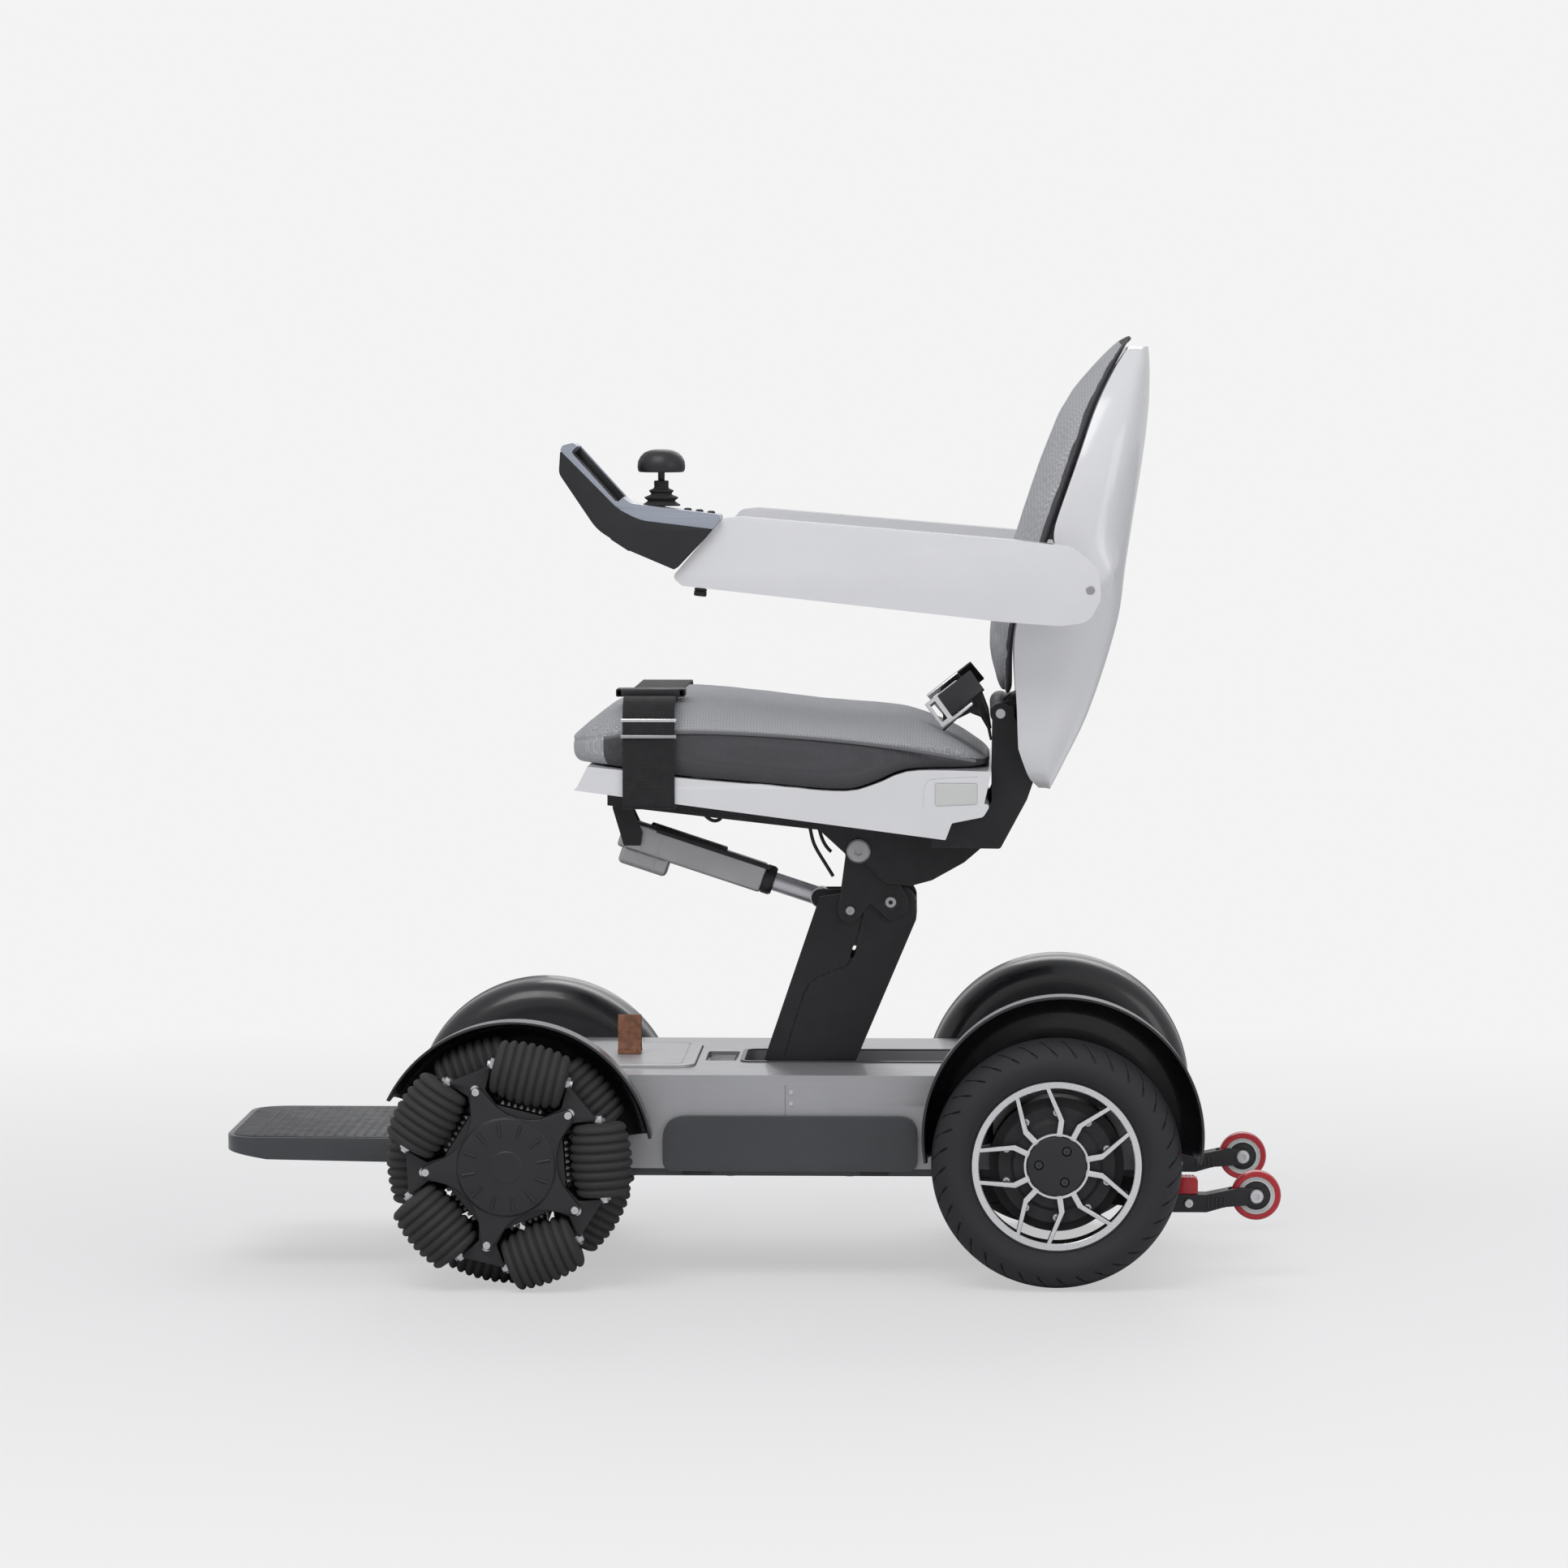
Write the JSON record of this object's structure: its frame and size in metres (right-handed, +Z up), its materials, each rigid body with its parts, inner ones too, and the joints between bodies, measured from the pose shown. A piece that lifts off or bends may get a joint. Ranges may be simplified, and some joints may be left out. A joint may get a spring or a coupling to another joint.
{
  "type": "folding power wheelchair",
  "caption": "Folding power wheelchair with a low base, roller front wheels, a folding post, a tilting seat and a folding back.",
  "frame": {"origin": "on the floor, under the middle of the chair", "axes": "+X towards the anti-tip wheels, +Y to the user's right, +Z up"},
  "size_m": [1.112, 0.6148, 0.986],
  "materials": {
    "gloss_white": "gloss",
    "silver_body": "satin paint",
    "dark_trim": "satin",
    "black_plastic": "matte",
    "black_alloy": "black anodised",
    "roller_rubber": "matte",
    "tyre_rubber": "matte",
    "wheel_alloy": "machined",
    "bright_steel": "brushed",
    "grey_alloy": "satin",
    "cloth": "woven mesh",
    "webbing": "webbing",
    "leather": "satin",
    "red_plastic": "satin",
    "pod_top": "satin",
    "boot_rubber": "matte"
  },
  "bodies": {
    "base": {"chassis_shell": "silver_body", "underbody_tray": "black_plastic", "battery_pack": "black_plastic", "post_pin": "bright_steel", "footplate_bracket": "black_alloy", "skirt_left": "dark_trim", "skirt_right": "dark_trim", "front_fender_left": "dark_trim", "front_fender_right": "dark_trim", "rear_fender_left": "dark_trim", "rear_fender_right": "dark_trim", "front_axle_left": "bright_steel", "front_axle_right": "bright_steel", "rear_motor_left": "black_alloy", "rear_motor_right": "black_alloy", "anti_tip_arm_left": "black_alloy", "anti_tip_arm_right": "black_alloy"},
    "hatch": {"hatch_cover": "silver_body", "pull_tab": "leather"},
    "footplate_body": {"footplate": "black_plastic"},
    "post_body": {"post": "black_alloy"},
    "bracket": {"lift_bracket": "black_alloy"},
    "seat": {"seat_frame": "black_alloy", "seat_pan": "gloss_white", "seat_cushion": "cloth", "front_strap": "webbing", "lap_belt_left": "webbing", "lap_belt_right": "webbing", "back_bracket": "black_plastic"},
    "actuator": {"actuator_body": "grey_alloy"},
    "actuator_shaft": {"actuator_rod": "bright_steel"},
    "back": {"back_shell": "gloss_white", "back_cushion": "cloth"},
    "armrest_left": {"arm_left": "gloss_white", "pod_body": "black_plastic", "pod_bezel": "pod_top"},
    "armrest_right": {"arm_right": "gloss_white"},
    "gimbal": {"joystick_gimbal": "bright_steel"},
    "joystick": {"joystick_knob": "black_plastic", "joystick_boot": "boot_rubber"},
    "front_wheel_left": {"front_roller_row_outer_left": "roller_rubber", "front_roller_row_inner_left": "roller_rubber", "front_hub_cover_left": "black_plastic"},
    "rear_wheel_left": {"rear_tyre_left": "tyre_rubber", "rear_rim_left": "wheel_alloy"},
    "tip_wheel_left": {"anti_tip_wheel_left": "red_plastic"},
    "lever_left": {"release_lever_left": "red_plastic"},
    "hub_left": {"arm_hub_left": "black_alloy"},
    "front_wheel_right": {"front_roller_row_outer_right": "roller_rubber", "front_roller_row_inner_right": "roller_rubber", "front_hub_cover_right": "black_plastic"},
    "rear_wheel_right": {"rear_tyre_right": "tyre_rubber", "rear_rim_right": "wheel_alloy"},
    "tip_wheel_right": {"anti_tip_wheel_right": "red_plastic"},
    "lever_right": {"release_lever_right": "red_plastic"},
    "hub_right": {"arm_hub_right": "black_alloy"},
    "button_1": {"pod_button_1": "black_plastic"},
    "button_2": {"pod_button_2": "black_plastic"},
    "button_3": {"pod_button_3": "black_plastic"}
  },
  "joints": [
    {"name": "front_wheel_spin_left", "type": "hinge", "parent": "base", "child": "front_wheel_left", "pos_m": [-0.246, -0.2512, 0.13], "axis": [0, 1, 0], "continuous": true},
    {"name": "rear_wheel_spin_left", "type": "hinge", "parent": "base", "child": "rear_wheel_left", "pos_m": [0.3205, -0.2375, 0.13], "axis": [0, 1, 0], "continuous": true},
    {"name": "tip_wheel_spin_left", "type": "hinge", "parent": "base", "child": "tip_wheel_left", "pos_m": [0.53, -0.165, 0.088], "axis": [0, 1, 0], "continuous": true},
    {"name": "release_lever_left", "type": "hinge", "parent": "base", "child": "lever_left", "pos_m": [0.447, -0.165, 0.0898], "axis": [0, 1, 0], "range_deg": [-40, 0]},
    {"name": "arm_hub_left", "type": "hinge", "parent": "back", "child": "hub_left", "pos_m": [0.353, -0.226, 0.724], "axis": [0, 1, 0], "range_deg": [0, 70]},
    {"name": "arm_lift_left", "type": "hinge", "parent": "hub_left", "child": "armrest_left", "pos_m": [0.353, -0.226, 0.724], "axis": [0, 1, 0], "range_deg": [0, 90]},
    {"name": "front_wheel_spin_right", "type": "hinge", "parent": "base", "child": "front_wheel_right", "pos_m": [-0.246, 0.2512, 0.13], "axis": [0, 1, 0], "continuous": true},
    {"name": "rear_wheel_spin_right", "type": "hinge", "parent": "base", "child": "rear_wheel_right", "pos_m": [0.3205, 0.2375, 0.13], "axis": [0, 1, 0], "continuous": true},
    {"name": "tip_wheel_spin_right", "type": "hinge", "parent": "base", "child": "tip_wheel_right", "pos_m": [0.53, 0.165, 0.088], "axis": [0, 1, 0], "continuous": true},
    {"name": "release_lever_right", "type": "hinge", "parent": "base", "child": "lever_right", "pos_m": [0.447, 0.165, 0.0898], "axis": [0, 1, 0], "range_deg": [-40, 0]},
    {"name": "arm_hub_right", "type": "hinge", "parent": "back", "child": "hub_right", "pos_m": [0.353, 0.226, 0.724], "axis": [0, 1, 0], "range_deg": [0, 70]},
    {"name": "arm_lift_right", "type": "hinge", "parent": "hub_right", "child": "armrest_right", "pos_m": [0.353, 0.226, 0.724], "axis": [0, 1, 0], "range_deg": [0, 90]},
    {"name": "footplate_fold", "type": "hinge", "parent": "base", "child": "footplate_body", "pos_m": [-0.352, 0, 0.138], "axis": [0, 1, 0], "range_deg": [0, 85]},
    {"name": "hatch_open", "type": "hinge", "parent": "base", "child": "hatch", "pos_m": [-0.264, 0, 0.217], "axis": [0, 1, 0], "range_deg": [-55, 0]},
    {"name": "post_fold", "type": "hinge", "parent": "base", "child": "post_body", "pos_m": [0.06, 0, 0.186], "axis": [0, 1, 0], "range_deg": [0, 50]},
    {"name": "seat_level", "type": "hinge", "parent": "post_body", "child": "bracket", "pos_m": [0.146, 0, 0.385], "axis": [0, 1, 0], "range_deg": [-50, 0]},
    {"name": "seat_tilt", "type": "hinge", "parent": "bracket", "child": "seat", "pos_m": [0.112, 0, 0.44], "axis": [0, 1, 0], "range_deg": [-7, 5]},
    {"name": "actuator_swing", "type": "hinge", "parent": "seat", "child": "actuator", "pos_m": [-0.13, 0, 0.452], "axis": [0, 1, 0], "range_deg": [-1.2, 1.2]},
    {"name": "actuator_stroke", "type": "slide", "parent": "actuator", "child": "actuator_shaft", "axis": [0.9496, 0, -0.3134], "range_m": [-0.009, 0.009]},
    {"name": "back_fold", "type": "hinge", "parent": "seat", "child": "back", "pos_m": [0.262, 0, 0.59], "axis": [0, 1, 0], "range_deg": [-70, 0]},
    {"name": "joystick_fore_aft", "type": "hinge", "parent": "armrest_left", "child": "gimbal", "pos_m": [-0.0872, -0.252, 0.80757], "axis": [0, 1, 0], "range_deg": [-15, 15], "stiffness_Nm_per_rad": 0.3, "deforming": ["joystick_boot"]},
    {"name": "joystick_side", "type": "hinge", "parent": "gimbal", "child": "joystick", "pos_m": [-0.0872, -0.252, 0.80757], "axis": [1, 0, 0], "range_deg": [-15, 15], "stiffness_Nm_per_rad": 0.3, "deforming": ["joystick_boot"]},
    {"name": "button_1_press", "type": "slide", "parent": "armrest_left", "child": "button_1", "axis": [0, 0, -1], "range_m": [0, 0.0012], "stiffness_N_per_m": 400},
    {"name": "button_2_press", "type": "slide", "parent": "armrest_left", "child": "button_2", "axis": [0, 0, -1], "range_m": [0, 0.0012], "stiffness_N_per_m": 400},
    {"name": "button_3_press", "type": "slide", "parent": "armrest_left", "child": "button_3", "axis": [0, 0, -1], "range_m": [0, 0.0012], "stiffness_N_per_m": 400}
  ],
  "couplings": [
    {"joint": "seat_level", "follows": "post_fold", "ratio": -1},
    {"joint": "actuator_swing", "follows": "seat_tilt", "ratio": 0.115},
    {"joint": "actuator_stroke", "follows": "seat_tilt", "m_per_rad": 0.063},
    {"joint": "arm_hub_left", "follows": "back_fold", "ratio": -1},
    {"joint": "arm_hub_right", "follows": "back_fold", "ratio": -1}
  ]
}
